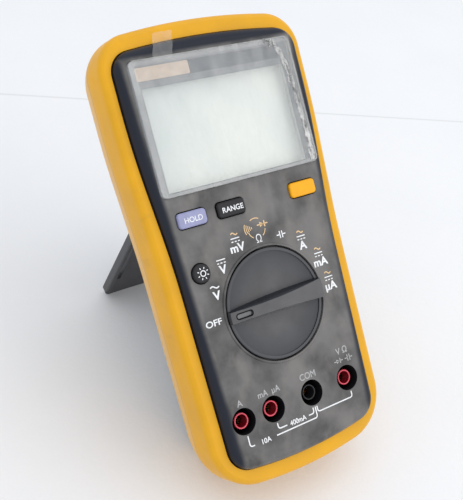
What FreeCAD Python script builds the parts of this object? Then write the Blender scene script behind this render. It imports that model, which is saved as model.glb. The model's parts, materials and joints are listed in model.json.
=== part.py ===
import FreeCAD, Part
import math
import os

# Handheld digital multimeter propped on its fold-out stand.  Millimetres.
# Everything is built in the meter's own flat frame: x to the right, y up the
# length, z out of the face, z = 0 at the front edge of the rubber bumper.
# The last step leans the meter back on its stand and sets it on the floor.

V = FreeCAD.Vector

# ---- overall sizes
LENGTH = 183.0
HEAD_WIDTH = 91.0
DEPTH = 45.8
LEAN = 45.0              # how far the meter leans back from upright, degrees

# ---- levels along z
PANEL_Z = 3.6            # front face of the grey panel
KNOB_TOP_Z = 6.9
BACK_Z = KNOB_TOP_Z - DEPTH
PARTING_Z = -16.0        # where the two case halves meet
FLANGE_Z = -2.6          # step that the bumper's front lip sits on
ROOF = 2.4               # panel thickness
WALL = 2.2               # case wall thickness
PCB_FRONT_Z = -11.0
PCB_BACK_Z = -12.6

# ---- outer shape of the bumper: half widths down one side
HEAD_HALF = HEAD_WIDTH / 2
SIDE = [(HEAD_HALF, 48.0), (42.9, 2.0), (41.5, -86.5)]
SIDE_TOP_Y = 87.6
PANEL_SIDE = [(41.2, 47.0), (37.1, 1.0), (35.4, -81.0)]
PANEL_TOP_Y = 81.8
PANEL_LENGTH = 169.0
SIDE_BEND = 350.0        # radius that softens the bends in the sides
BUMPER_PROFILE = [       # (z, how far inside the outline, how much each side is narrowed)
    (0.0, 2.3, 0.0), (-0.7, 1.2, 0.0), (-1.6, 0.5, 0.0), (-2.6, 0.2, 0.0), (-7.0, 0.1, 0.0),
    (-12.0, 0.1, 0.0), (-13.5, 0.3, 0.0), (-20.0, 1.6, 0.5), (-28.0, 3.4, 1.6), (-34.0, 4.95, 2.4),
    (-37.2, 6.6, 2.6), (BACK_Z, 9.2, 2.6)]
CASE_INSET = 3.0
CASE_PROFILE = [(PARTING_Z, CASE_INSET, 0.0), (-20.0, 4.1, 0.5), (-28.0, 6.0, 1.6), (-34.0, 7.8, 2.4),
                (-36.2, 9.3, 2.6)]
BACK_INSET = 9.3
BACK_NARROW = 2.6
BACK_FACE_Z = BACK_Z + 0.5
PANEL_GAP = 0.5
FLOOR_FLAT = 0.8         # how much the bumper's lowest edge is flattened

# ---- window
WINDOW_HALF = 36.3
WINDOW_Y = (26.0, 78.0)
WINDOW_CORNER = 2.6
LENS_BOTTOM_Z = 2.2
LENS_TOP_Z = 4.9
LCD_HALF = 33.6
LCD_Y = (26.6, 70.4)
LCD_TOP_Z = -1.4
TAPE_X = -25.4            # left edge of the tab where it leaves the film
TAPE_WIDTH = 8.3
TAPE_SLANT = 27.0         # degrees to the right, going up

# ---- selector knob
KNOB_X = 0.0
KNOB_Y = -23.6
KNOB_RADIUS = 22.0
KNOB_WELL_RADIUS = 22.7
KNOB_WELL_Z = PANEL_Z - 3.0
KNOB_RIM_Z = PANEL_Z + 0.3
KNOB_RIM = 1.3           # width of the flat rim round the dish
DISH_FLOOR_Z = 1.6
DISH_BALL = 120.0        # radius of the ball that scoops the dish
CROWN = 242.0            # radius of the bar's long curved crest
BAR_LEFT = 1.9           # half widths of the bar's crest at its two ends
BAR_RIGHT = 3.55
POINTER_X = (-19.4, -12.8)
SHAFT_RADIUS = 5.0
FIT = 0.05               # running clearance on a radius

# ---- push buttons: (name, x, y)
KEY_SIZE = (12.4, 6.0)
KEY_HOLE = (13.2, 6.8)
KEY_CORNER = 1.5
KEYS = [("button_hold", -26.3, 16.9), ("button_range", -9.0, 16.9), ("button_function", 25.4, 16.9)]
ROUND_KEY = ("button_backlight", -28.5, -3.8)
ROUND_KEY_RADIUS = 3.75
ROUND_KEY_HOLE = 4.1
KEY_TOP_Z = PANEL_Z + 1.1

# ---- input jacks: (name, x)
JACKS = [("a", -26.75), ("ma", -12.9), ("com", 5.9), ("v", 24.2)]
JACK_Y = -62.7
JACK_WELL_RADIUS = 5.2
JACK_TUBE_RADIUS = 3.2
JACK_BORE_RADIUS = 2.05
JACK_TUBE_TOP_Z = PANEL_Z - 2.0
JACK_FLOOR_Z = -20.0

# ---- tilt stand
STAND_HALF = 26.0
STAND_LENGTH = 82.2
STAND_PLATE = 3.0
STAND_CORNER = 6.0
STAND_RAIL = 2.4         # width of the rail down each side
STAND_SLOT = 2.9         # width of the slot beside it
STAND_PIVOT_Y = 24.0
STAND_BARREL = 3.0
STAND_PIVOT_Z = BACK_FACE_Z + STAND_BARREL
TRUNNION_RADIUS = 1.6
RECESS_HALF = STAND_HALF + 1.0
RECESS_Z = STAND_PIVOT_Z + STAND_BARREL + 0.4

# ---- power
CELL_RADIUS = 7.25
CELL_LENGTH = 50.5
CELL_X = 7.6
CELL_Z = -21.8
BAY_HALF = 17.0
BAY_Y = (-54.0, 1.0)
DOOR_LIP = 1.4
FUSE_RADIUS = 5.0
FUSE_X = 25.2
FUSES = [("fuse_high", 38.0, -1), ("fuse_low", 35.0, 1)]
FUSE_Y = -27.0
FUSE_Z = PCB_BACK_Z - 1.0 - FUSE_RADIUS

CASE_SCREWS = [(-23.5, 4.0), (23.5, 4.0), (-21.0, -75.0), (21.0, -75.0)]
SCREW_SEAT_Z = -29.2      # where the heads of the case screws rest
PCB_SCREWS = [(-33.2, -38.0), (33.2, -38.0), (-30.0, 81.0), (30.0, 81.0)]


# ---------------------------------------------------------------- helpers
def box(x0, x1, y0, y1, z0, z1):
    return Part.makeBox(x1 - x0, y1 - y0, z1 - z0, V(x0, y0, z0))


def post(x, y, radius, z0, z1):
    return Part.makeCylinder(radius, z1 - z0, V(x, y, z0))


def bar_x(x0, x1, y, z, radius):
    return Part.makeCylinder(radius, x1 - x0, V(x0, y, z), V(1, 0, 0))


def bar_y(x, y0, y1, z, radius):
    return Part.makeCylinder(radius, y1 - y0, V(x, y0, z), V(0, 1, 0))


def ring(x, y, outer, inner, z0, z1):
    return post(x, y, outer, z0, z1).cut(post(x, y, inner, z0 - 1, z1 + 1))


def upright_edges(shape, test):
    found = []
    for edge in shape.Edges:
        box_of = edge.BoundBox
        if box_of.ZLength > 0.05 and box_of.XLength + box_of.YLength < 1e-3 and test(edge.Vertexes[0].Point):
            found.append(edge)
    return found


def level_edges(shape, z, test=None):
    found = []
    for edge in shape.Edges:
        box_of = edge.BoundBox
        level = abs(box_of.ZMin - z) < 1e-3 and abs(box_of.ZMax - z) < 1e-3
        if level and (test is None or test(edge.CenterOfMass)):
            found.append(edge)
    return found


def pad(x0, x1, y0, y1, z0, z1, corner):
    """Block with rounded upright corners."""
    block = box(x0, x1, y0, y1, z0, z1)
    return block.makeFillet(corner, upright_edges(block, lambda p: True))


def soft_bend(before, corner, after, radius):
    """Start, middle and end of the arc that rounds one shallow corner."""
    back = (before - corner).normalize()
    ahead = (after - corner).normalize()
    half = back.getAngle(ahead) / 2
    reach = radius / math.tan(half)
    middle = corner + (back + ahead).normalize() * (radius / math.sin(half) - radius)
    return corner + back * reach, middle, corner + ahead * reach


def side_edges(points):
    """Straight runs down one side with a soft arc at both inner points."""
    first, head, waist, last = points
    a0, a1, a2 = soft_bend(first, head, waist, SIDE_BEND)
    b0, b1, b2 = soft_bend(head, waist, last, SIDE_BEND)
    return [Part.LineSegment(first, a0).toShape(), Part.Arc(a0, a1, a2).toShape(),
            Part.LineSegment(a2, b0).toShape(), Part.Arc(b0, b1, b2).toShape(),
            Part.LineSegment(b2, last).toShape()]


def side_outline(side, top_y, length, top_corner, foot_corner):
    """Flat face: curved top and bottom, sides with two soft bends."""
    right = [V(side[0][0], top_y, 0)] + [V(x, y, 0) for x, y in side]
    left = [V(-p.x, p.y, 0) for p in right[::-1]]
    edges = [Part.Arc(left[-1], V(0, length / 2, 0), right[0]).toShape()]
    edges += side_edges(right)
    edges.append(Part.Arc(right[-1], V(0, -length / 2, 0), left[0]).toShape())
    edges += side_edges(left)
    prism = Part.Face(Part.Wire(edges)).extrude(V(0, 0, 1))
    prism = prism.makeFillet(top_corner, upright_edges(prism, lambda p: abs(p.y - top_y) < 0.1))
    prism = prism.makeFillet(foot_corner, upright_edges(prism, lambda p: abs(p.y - side[-1][1]) < 0.1))
    return min(prism.Faces, key=lambda f: f.CenterOfMass.z)


def inset(face, distance):
    if distance == 0:
        return face
    return Part.Face(face.OuterWire.makeOffset2D(-distance))


def slab(face, z0, z1):
    lifted = face.copy()
    lifted.translate(V(0, 0, z0))
    return lifted.extrude(V(0, 0, z1 - z0))


def outer_outline(narrow):
    """Outline of the bumper with both of its sides moved in."""
    return side_outline([(x - narrow, y) for x, y in SIDE], SIDE_TOP_Y, LENGTH, 15.0, 20.0)


def layered(profile):
    """Smooth skin through the outer outline, drawn in and narrowed at each level."""
    wires = []
    for z, distance, narrow in profile:
        wire = inset(outer_outline(narrow), distance).OuterWire
        wire.translate(V(0, 0, z))
        wires.append(wire)
    return Part.makeLoft(wires, True, False)


def joined(shapes):
    whole = shapes[0].fuse(shapes[1:])
    return whole.removeSplitter()


OUTER = outer_outline(0.0)
BACK = inset(outer_outline(BACK_NARROW), BACK_INSET)
PANEL = side_outline(PANEL_SIDE, PANEL_TOP_Y, PANEL_LENGTH, 9.0, 10.0)
CASE = inset(OUTER, CASE_INSET)


# ---------------------------------------------------------------- case and bumper
def case_envelope():
    """Outer skin of both case halves together, with room for the front lip."""
    front = slab(CASE, PARTING_Z, FLANGE_Z)
    rear = layered(CASE_PROFILE)
    back = slab(BACK, BACK_Z - 1, CASE_PROFILE[-1][0])
    opening = slab(PANEL, FLANGE_Z, 2)
    return [front, rear, back, opening]


def lean_normal():
    """Floor normal seen in the meter's flat frame."""
    angle = math.radians(LEAN)
    return V(0, math.cos(angle), math.sin(angle))


def lowest(shape, direction):
    """Smallest distance of a shape along a direction."""
    points = shape.tessellate(0.05)[0]
    return min(p.dot(direction) for p in points)


def below_floor(level):
    """Block that fills the space under the floor."""
    block = Part.makeBox(400, 400, 100, V(-200, -200, -100))
    block.rotate(V(0, 0, 0), V(1, 0, 0), LEAN - 90)
    block.translate(lean_normal() * level)
    return block


def bumper_blank():
    return layered(BUMPER_PROFILE)


BUMPER_BLANK = bumper_blank()
FLOOR_LEVEL = lowest(BUMPER_BLANK, lean_normal()) + FLOOR_FLAT


def bumper():
    return BUMPER_BLANK.cut(case_envelope() + [below_floor(FLOOR_LEVEL)])


def jack_barrels():
    shapes = []
    for _, x in JACKS:
        shapes.append(post(x, JACK_Y, JACK_WELL_RADIUS + 1.1, JACK_FLOOR_Z - 1.5, PANEL_Z - 1))
    return shapes


def jack_wells():
    shapes = []
    for _, x in JACKS:
        shapes.append(post(x, JACK_Y, JACK_WELL_RADIUS, JACK_FLOOR_Z, PANEL_Z + 1))
        shapes.append(post(x, JACK_Y, JACK_TUBE_RADIUS, JACK_FLOOR_Z - 2, JACK_FLOOR_Z + 1))
    return shapes


def key_hole(x, y, z0, z1):
    w, h = KEY_HOLE
    return pad(x - w / 2, x + w / 2, y - h / 2, y + h / 2, z0, z1, KEY_CORNER + 0.4)


def front_case():
    panel = slab(inset(PANEL, PANEL_GAP), FLANGE_Z - 0.2, PANEL_Z)
    panel = panel.makeFillet(2.8, level_edges(panel, PANEL_Z))
    skirt = slab(CASE, PARTING_Z, FLANGE_Z)
    hollow_low = slab(inset(CASE, WALL), PARTING_Z - 1, FLANGE_Z - WALL)
    hollow_high = slab(inset(PANEL, PANEL_GAP + 2.6), FLANGE_Z - WALL - 0.2, PANEL_Z - ROOF)
    shell = joined([panel, skirt]).cut([hollow_low, hollow_high])
    knob_boss = post(KNOB_X, KNOB_Y, KNOB_WELL_RADIUS + 1.6, KNOB_WELL_Z - ROOF, PANEL_Z - 0.1)
    bearing = post(KNOB_X, KNOB_Y, SHAFT_RADIUS + 2.5, -6.0, KNOB_WELL_Z - 0.1)
    bead = ring(KNOB_X, KNOB_Y, KNOB_WELL_RADIUS + 0.9, KNOB_WELL_RADIUS - 1, PANEL_Z - 0.5, PANEL_Z + 0.45)
    bead = bead.makeFillet(0.4, level_edges(bead, PANEL_Z + 0.45))
    posts = [post(x, y, 3.0, PARTING_Z, PANEL_Z - ROOF + 0.4) for x, y in CASE_SCREWS]
    posts += [post(x, y, 2.3, PCB_FRONT_Z, PANEL_Z - ROOF + 0.4) for x, y in PCB_SCREWS]
    within = slab(inset(PANEL, PANEL_GAP + 0.2), -30, PANEL_Z - 0.5).fuse(slab(inset(CASE, 0.2), -30, FLANGE_Z - 1))
    bosses = joined([knob_boss, bearing] + jack_barrels() + posts).common(within)
    solid = joined([shell, bosses, bead])
    tools = [post(KNOB_X, KNOB_Y, KNOB_WELL_RADIUS, KNOB_WELL_Z, PANEL_Z + 2)]
    tools.append(post(KNOB_X, KNOB_Y, SHAFT_RADIUS + FIT, -10, PANEL_Z))
    tools.append(pad(-WINDOW_HALF, WINDOW_HALF, WINDOW_Y[0], WINDOW_Y[1], LENS_BOTTOM_Z, PANEL_Z + 1, WINDOW_CORNER))
    tools.append(pad(-34.4, 34.4, 27.0, 77.0, -3, PANEL_Z, 1.5))
    tools += [key_hole(x, y, -3, PANEL_Z + 1) for _, x, y in KEYS]
    tools.append(post(ROUND_KEY[1], ROUND_KEY[2], ROUND_KEY_HOLE, -3, PANEL_Z + 1))
    tools += jack_wells()
    tools += [post(x, y, 1.3, PARTING_Z - 1, -5.0) for x, y in CASE_SCREWS]
    tools += [post(x, y, 1.0, PCB_FRONT_Z - 1, -4.0) for x, y in PCB_SCREWS]
    return solid.cut(tools)


def stand_recess(grow, z_top):
    y0 = STAND_PIVOT_Y - STAND_LENGTH - 2.5
    y1 = STAND_PIVOT_Y + STAND_BARREL + 0.8
    return box(-RECESS_HALF - grow, RECESS_HALF + grow, y0 - grow, y1 + grow, BACK_Z - 2, z_top)


def rear_case():
    inner_profile = [(z, distance + WALL, narrow) for z, distance, narrow in CASE_PROFILE[:-1]]
    limit = joined([layered(CASE_PROFILE), slab(BACK, BACK_FACE_Z, CASE_PROFILE[-1][0])])
    shell = limit.cut(layered(inner_profile))
    pocket = stand_recess(2.0, RECESS_Z + 2.0)
    cheeks = [box(s * 29 - 2.5, s * 29 + 2.5, 17, 28, -40, RECESS_Z + 2) for s in (-1, 1)]
    bay = box(-BAY_HALF - 1.6, BAY_HALF + 1.6, BAY_Y[0] - 1.6, BAY_Y[1] + 1.6, RECESS_Z, -13.2)
    ear = post(0, BAY_Y[1] + 4.6, 3.2, RECESS_Z, -22)
    pillars = [post(x, y, 3.7, -37, PARTING_Z) for x, y in CASE_SCREWS]
    shell = joined([shell] + [s.common(limit) for s in [pocket, bay, ear] + cheeks + pillars])
    lip = BAY_HALF + DOOR_LIP
    tools = [stand_recess(0.0, RECESS_Z)]
    tools.append(box(-BAY_HALF, BAY_HALF, BAY_Y[0], BAY_Y[1], RECESS_Z - 1, -14.3))
    tools.append(box(-lip, lip, BAY_Y[0] - DOOR_LIP, BAY_Y[1] + DOOR_LIP, RECESS_Z - 1, RECESS_Z + 1.2))
    tools.append(box(-4.2, 4.2, BAY_Y[1], BAY_Y[1] + 8.4, RECESS_Z - 1, RECESS_Z + 1.2))
    tools.append(post(0, BAY_Y[1] + 4.6, 1.0, RECESS_Z - 1, -24))
    tools.append(bar_x(-30.2, 30.2, STAND_PIVOT_Y, STAND_PIVOT_Z, TRUNNION_RADIUS + FIT))
    for x, y in CASE_SCREWS:
        tools.append(post(x, y, 1.6, -40, PARTING_Z + 1))
        tools.append(post(x, y, 2.75, -40, SCREW_SEAT_Z))
    return shell.cut(tools)


def case_screw(x, y):
    seat = SCREW_SEAT_Z
    head = post(x, y, 2.5, seat - 2.2, seat)
    shank = post(x, y, 1.25, seat - 0.1, -6.0)
    slot = box(x - 2.0, x + 2.0, y - 0.35, y + 0.35, seat - 3, seat - 1.3)
    cross = box(x - 0.35, x + 0.35, y - 2.0, y + 2.0, seat - 3, seat - 1.3)
    return joined([head, shank]).cut([slot, cross])


def battery_door():
    gap = 0.15
    lip = BAY_HALF + DOOR_LIP - gap
    plate = box(-lip, lip, BAY_Y[0] - DOOR_LIP + gap, BAY_Y[1] + DOOR_LIP - gap, RECESS_Z, RECESS_Z + 1.2)
    ear = box(-4.2 + gap, 4.2 - gap, BAY_Y[1], BAY_Y[1] + 8.4 - gap, RECESS_Z, RECESS_Z + 1.2)
    y0 = BAY_Y[0] + 0.4
    y1 = BAY_Y[1] - 0.4
    ribs = []
    for k in range(3):
        y = y0 + 8 + k * (y1 - y0 - 16) / 2
        ribs.append(box(-1.0, 1.0, y - 3, y + 3, RECESS_Z + 1.1, RECESS_Z + 2.4))
    grips = []
    for k in range(5):
        y = BAY_Y[0] + 6 + k * 2.4
        grips.append(box(-8, 8, y, y + 1.0, RECESS_Z - 1, RECESS_Z + 0.4))
    hole = post(0, BAY_Y[1] + 4.6, 1.3, RECESS_Z - 1, RECESS_Z + 3)
    return joined([plate, ear] + ribs).cut(grips + [hole])


def battery_door_screw():
    x = 0
    y = BAY_Y[1] + 4.6
    head = post(x, y, 2.4, RECESS_Z - 1.0, RECESS_Z)
    shank = post(x, y, 0.95, RECESS_Z - 0.1, -25.5)
    slot = box(x - 2.0, x + 2.0, y - 0.4, y + 0.4, RECESS_Z - 2, RECESS_Z - 0.5)
    return joined([head, shank]).cut(slot)


# ---------------------------------------------------------------- display
def display_lens():
    gap = 0.1
    lens = pad(-WINDOW_HALF + gap, WINDOW_HALF - gap, WINDOW_Y[0] + gap, WINDOW_Y[1] - gap,
               LENS_BOTTOM_Z, LENS_TOP_Z, WINDOW_CORNER)
    return lens.makeFillet(0.5, level_edges(lens, LENS_TOP_Z))


def lens_gasket():
    outer = pad(-34.2, 34.2, 27.2, 76.8, 1.2, LENS_BOTTOM_Z, 1.4)
    return outer.cut(pad(-33.6, 33.6, 27.8, 76.2, 0, 3, 1.0))


def protective_film():
    z = LENS_TOP_Z
    return pad(-WINDOW_HALF - 0.2, WINDOW_HALF + 0.2, WINDOW_Y[0] - 0.2, WINDOW_Y[1] + 0.2,
               z, z + 0.15, WINDOW_CORNER + 0.2)


def film_tape():
    """Clear pull tab that bridges from the film to the bumper."""
    z = LENS_TOP_Z + 0.17
    path = [(76.6, z), (78.6, z), (79.6, PANEL_Z + 0.3), (81.4, PANEL_Z + 0.15), (83.6, 2.6),
            (85.2, 0.8), (88.0, 0.3)]
    upper = [(y + 0.05, w + 0.14) for y, w in path]
    lean = math.tan(math.radians(TAPE_SLANT))
    points = [V(TAPE_X + (y - WINDOW_Y[1]) * lean, y, w) for y, w in path + upper[::-1]]
    face = Part.Face(Part.makePolygon(points + [points[0]]))
    return face.extrude(V(TAPE_WIDTH, 0, 0))


def lcd_glass():
    return box(-LCD_HALF, LCD_HALF, LCD_Y[0], LCD_Y[1], LCD_TOP_Z - 2.2, LCD_TOP_Z)


def lcd_frame():
    """Carrier that holds the glass and the light guide above the board."""
    body = box(-34.8, 34.8, 25.2, 77.4, PCB_FRONT_Z + 0.1, 0.9)
    pocket = box(-LCD_HALF - 0.1, LCD_HALF + 0.1, LCD_Y[0] - 0.1, LCD_Y[1] + 0.1, -6.6, LCD_TOP_Z + 0.05)
    view = box(-LCD_HALF + 0.6, LCD_HALF - 0.6, LCD_Y[0] + 0.6, LCD_Y[1] - 0.6, -3, 3)
    below = box(-LCD_HALF + 1, LCD_HALF - 1, LCD_Y[0] + 1, LCD_Y[1] - 1, -20, -6)
    strip = box(-30, 30, LCD_Y[1] + 1.6, LCD_Y[1] + 4.6, -20, -3)
    return body.cut([pocket, view, below, strip])


def light_guide():
    return box(-LCD_HALF + 0.1, LCD_HALF - 0.1, LCD_Y[0] + 0.1, LCD_Y[1] - 0.1, -6.5, LCD_TOP_Z - 2.3)


def contact_strip():
    """Rubber strip that joins the glass to the board."""
    return box(-29.8, 29.8, LCD_Y[1] + 1.8, LCD_Y[1] + 4.4, PCB_FRONT_Z, -3.2)


# ---------------------------------------------------------------- selector
def bar_section(z, grow):
    """Outline of the bar at one level, narrow at the pointer end."""
    x = KNOB_RADIUS + 0.5
    points = [V(-x, KNOB_Y - BAR_LEFT - grow, z), V(x, KNOB_Y - BAR_RIGHT - grow, z),
              V(x, KNOB_Y + BAR_RIGHT + grow, z), V(-x, KNOB_Y + BAR_LEFT + grow, z)]
    return Part.makePolygon(points + [points[0]])


def knob_bar():
    """Handle across the whole face, with steep sides and a crest crowned along its length."""
    levels = [(DISH_FLOOR_Z - 0.5, 1.2), (KNOB_TOP_Z - 0.9, 0.3), (KNOB_TOP_Z, -0.4)]
    bar = Part.makeLoft([bar_section(z, grow) for z, grow in levels], True, True)
    crown = Part.makeCylinder(CROWN, 30, V(KNOB_X, KNOB_Y - 15, KNOB_TOP_Z - CROWN), V(0, 1, 0))
    reach = post(KNOB_X, KNOB_Y, KNOB_RADIUS - 0.05, KNOB_WELL_Z + 0.5, KNOB_TOP_Z + 1)
    return bar.common(crown).common(reach)


def dish():
    """Shallow hollow scooped from the knob's face inside its rim."""
    ball = Part.makeSphere(DISH_BALL, V(KNOB_X, KNOB_Y, DISH_FLOOR_Z + DISH_BALL))
    return ball.common(post(KNOB_X, KNOB_Y, KNOB_RADIUS - KNOB_RIM, 0, KNOB_TOP_Z))


def selector_knob():
    disc = post(KNOB_X, KNOB_Y, KNOB_RADIUS, KNOB_WELL_Z + 0.3, KNOB_RIM_Z)
    disc = disc.makeFillet(0.4, level_edges(disc, KNOB_RIM_Z))
    shaft = post(KNOB_X, KNOB_Y, SHAFT_RADIUS, -8.2, KNOB_WELL_Z + 0.5)
    knob = joined([disc.cut(dish()), knob_bar(), shaft])
    x0, x1 = POINTER_X
    pocket = pad(x0 - 0.1, x1 + 0.1, KNOB_Y - 0.9, KNOB_Y + 0.9, KNOB_TOP_Z - 1.5, KNOB_TOP_Z + 2, 0.85)
    return knob.cut(pocket)


def knob_pointer():
    """Pale inlay near the narrow end of the bar."""
    x0, x1 = POINTER_X
    return pad(x0, x1, KNOB_Y - 0.8, KNOB_Y + 0.8, KNOB_TOP_Z - 1.5, KNOB_TOP_Z - 0.95, 0.75)


def switch_rotor():
    """Disc on the end of the shaft that carries the wipers."""
    disc = post(KNOB_X, KNOB_Y, 17.0, -9.9, -8.2)
    hub = ring(KNOB_X, KNOB_Y, 6.6, SHAFT_RADIUS, -8.3, -6.4)
    windows = []
    for k in range(3):
        angle = math.radians(30 + 120 * k)
        windows.append(post(KNOB_X + 11 * math.cos(angle), KNOB_Y + 11 * math.sin(angle), 2.6, -11, -7))
    return joined([disc, hub]).cut(windows)


def switch_wipers():
    """Three sprung contact plates under the rotor."""
    shapes = []
    for k in range(3):
        angle = 90 + 120 * k
        blade = box(8.0, 15.5, -1.6, 1.6, -10.3, -9.9)
        fingers = [box(13.8, 15.3, s, s + 0.9, -10.9, -10.2) for s in (-1.5, -0.45, 0.6)]
        plate = joined([blade] + fingers)
        plate.rotate(V(0, 0, 0), V(0, 0, 1), angle)
        plate.translate(V(KNOB_X, KNOB_Y, 0))
        shapes.append(plate)
    return Part.makeCompound(shapes)


def detent_ring():
    """Ribbed ring under the panel that gives the knob its clicks."""
    z = KNOB_WELL_Z - ROOF
    shape = ring(KNOB_X, KNOB_Y, 15.0, 12.5, z - 1.4, z)
    teeth = []
    for k in range(16):
        angle = math.radians(22.5 * k)
        teeth.append(post(KNOB_X + 12.4 * math.cos(angle), KNOB_Y + 12.4 * math.sin(angle), 0.8, z - 2, z - 0.6))
    return shape.cut(teeth)


# ---------------------------------------------------------------- keys
def cap(body, top_z):
    return body.makeFillet(0.7, level_edges(body, top_z))


def key_cap(x, y):
    w, h = KEY_SIZE
    body = cap(pad(x - w / 2, x + w / 2, y - h / 2, y + h / 2, 0.0, KEY_TOP_Z, KEY_CORNER), KEY_TOP_Z)
    flange = pad(x - w / 2 - 0.9, x + w / 2 + 0.9, y - h / 2 - 0.9, y + h / 2 + 0.9, 0.0, 0.9, KEY_CORNER)
    stem = post(x, y, 1.6, -1.6, 0.1)
    return joined([body, flange, stem])


def round_key():
    x, y = ROUND_KEY[1:]
    body = cap(post(x, y, ROUND_KEY_RADIUS, 0.0, KEY_TOP_Z), KEY_TOP_Z)
    flange = post(x, y, ROUND_KEY_RADIUS + 0.9, 0.0, 0.9)
    stem = post(x, y, 1.6, -1.6, 0.1)
    return joined([body, flange, stem])


def keypad_membrane():
    """Rubber mat with a dome under each key."""
    y_mid = KEYS[0][2]
    mat = box(-33.5, 32.9, y_mid - 4.4, y_mid + 4.4, -9.2, -8.2)
    ear = box(-33.5, -23.5, ROUND_KEY[2] - 4.2, y_mid, -9.2, -8.2)
    places = [(x, y) for _, x, y in KEYS] + [ROUND_KEY[1:]]
    domes = [Part.makeCone(3.0, 1.6, 5.55, V(x, y, -8.3)) for x, y in places]
    pads = [post(x, y, 1.4, PCB_FRONT_Z, -9.1) for x, y in places]
    mat = joined([mat, ear] + domes + pads)
    return mat.cut([post(x, y, 3.6, -20, 0) for x, y in CASE_SCREWS])


# ---------------------------------------------------------------- jacks
def jack_tube(x):
    tube = post(x, JACK_Y, JACK_TUBE_RADIUS, JACK_FLOOR_Z - 1.5, JACK_TUBE_TOP_Z)
    tube = tube.makeFillet(0.35, level_edges(tube, JACK_TUBE_TOP_Z))
    bore = post(x, JACK_Y, JACK_BORE_RADIUS, JACK_FLOOR_Z - 3, PANEL_Z)
    seat = post(x, JACK_Y, 2.6, JACK_FLOOR_Z - 3, -3.0)
    return tube.cut([bore, seat])


def jack_contact(x):
    """Sprung metal socket with a tail that runs to the board."""
    sleeve = post(x, JACK_Y, 2.6, JACK_FLOOR_Z - 3.5, -3.0)
    bore = post(x, JACK_Y, JACK_BORE_RADIUS, JACK_FLOOR_Z - 2.5, 0)
    tail = box(x - 0.8, x + 0.8, JACK_Y - 8.6, JACK_Y, JACK_FLOOR_Z - 3.5, JACK_FLOOR_Z - 2.6)
    riser = box(x - 0.8, x + 0.8, JACK_Y - 8.6, JACK_Y - 7.6, JACK_FLOOR_Z - 3.5, PCB_BACK_Z)
    return joined([sleeve, tail, riser]).cut(bore)


# ---------------------------------------------------------------- board and parts on it
def main_board():
    outline = inset(OUTER, CASE_INSET + WALL + 0.8)
    board = slab(outline, PCB_BACK_Z, PCB_FRONT_Z)
    holes = [post(x, y, 3.6, -20, 0) for x, y in CASE_SCREWS]
    holes += [post(x, y, 1.3, -20, 0) for x, y in PCB_SCREWS]
    holes += [post(x, JACK_Y, JACK_WELL_RADIUS + 1.6, -20, 0) for _, x in JACKS]
    return board.cut(holes)


def board_screw(x, y):
    head = post(x, y, 2.1, PCB_BACK_Z - 1.4, PCB_BACK_Z)
    shank = post(x, y, 0.95, PCB_BACK_Z - 0.1, -5.0)
    slot = box(x - 1.8, x + 1.8, y - 0.3, y + 0.3, PCB_BACK_Z - 2, PCB_BACK_Z - 0.8)
    return joined([head, shank]).cut(slot)


def fuse(length, side):
    return bar_y(side * FUSE_X, FUSE_Y - length / 2, FUSE_Y + length / 2, FUSE_Z, FUSE_RADIUS)


def fuse_clips(length, side):
    """Two spring clips that hold one fuse."""
    shapes = []
    for end in (-1, 1):
        y = FUSE_Y + end * (length / 2 - 4)
        body = box(side * FUSE_X - 5.8, side * FUSE_X + 5.8, y - 2.5, y + 2.5, FUSE_Z - 3.5, PCB_BACK_Z)
        inner = bar_y(side * FUSE_X, y - 4, y + 4, FUSE_Z, FUSE_RADIUS)
        mouth = box(side * FUSE_X - 4, side * FUSE_X + 4, y - 4, y + 4, FUSE_Z - 8, FUSE_Z)
        shapes.append(body.cut([inner, mouth]))
    return Part.makeCompound(shapes)


def cell(side):
    """AA cell with its positive cap; the two lie head to tail."""
    y0 = (BAY_Y[0] + BAY_Y[1]) / 2 - CELL_LENGTH / 2
    x = side * CELL_X
    can = bar_y(x, 0, CELL_LENGTH - 1.2, CELL_Z, CELL_RADIUS)
    can = can.makeFillet(0.6, [e for e in can.Edges if e.Length > 40])
    nub = bar_y(x, CELL_LENGTH - 1.3, CELL_LENGTH, CELL_Z, 2.75)
    whole = joined([can, nub])
    if side < 0:
        whole.rotate(V(x, CELL_LENGTH / 2, CELL_Z), V(0, 0, 1), 180)
    whole.translate(V(0, y0, 0))
    return whole


def cell_contacts():
    """Sprung plates at both ends of the bay."""
    shapes = []
    for y, step in ((BAY_Y[0], 1), (BAY_Y[1], -1)):
        for side in (-1, 1):
            x = side * CELL_X
            y_plate = sorted((y, y + step * 0.5))
            plate = box(x - 5.5, x + 5.5, y_plate[0], y_plate[1], CELL_Z - 5.5, CELL_Z + 5.5)
            y_stud = sorted((y + step * 0.4, y + step * 2.2))
            stud = bar_y(x, y_stud[0], y_stud[1], CELL_Z, 1.8)
            shapes.append(joined([plate, stud]))
    return Part.makeCompound(shapes)


def front_chip():
    return box(-9, 5, 2.5, 11.5, PCB_FRONT_Z, PCB_FRONT_Z + 1.6)


def main_chip():
    return box(-7.5, 7.5, 39.5, 54.5, PCB_BACK_Z - 1.8, PCB_BACK_Z)


def crystal():
    return box(14, 19, 50, 53.4, PCB_BACK_Z - 2.2, PCB_BACK_Z)


def surge_discs():
    """Blue varistors near the voltage input."""
    return Part.makeCompound([post(x, -77.4, 4.5, PCB_BACK_Z - 4.2, PCB_BACK_Z) for x in (-6.0, 7.5)])


def thermistors():
    places = ((-14.0, 12.5), (14.0, 12.5))
    return Part.makeCompound([post(x, y, 3.0, PCB_BACK_Z - 3.0, PCB_BACK_Z) for x, y in places])


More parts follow.
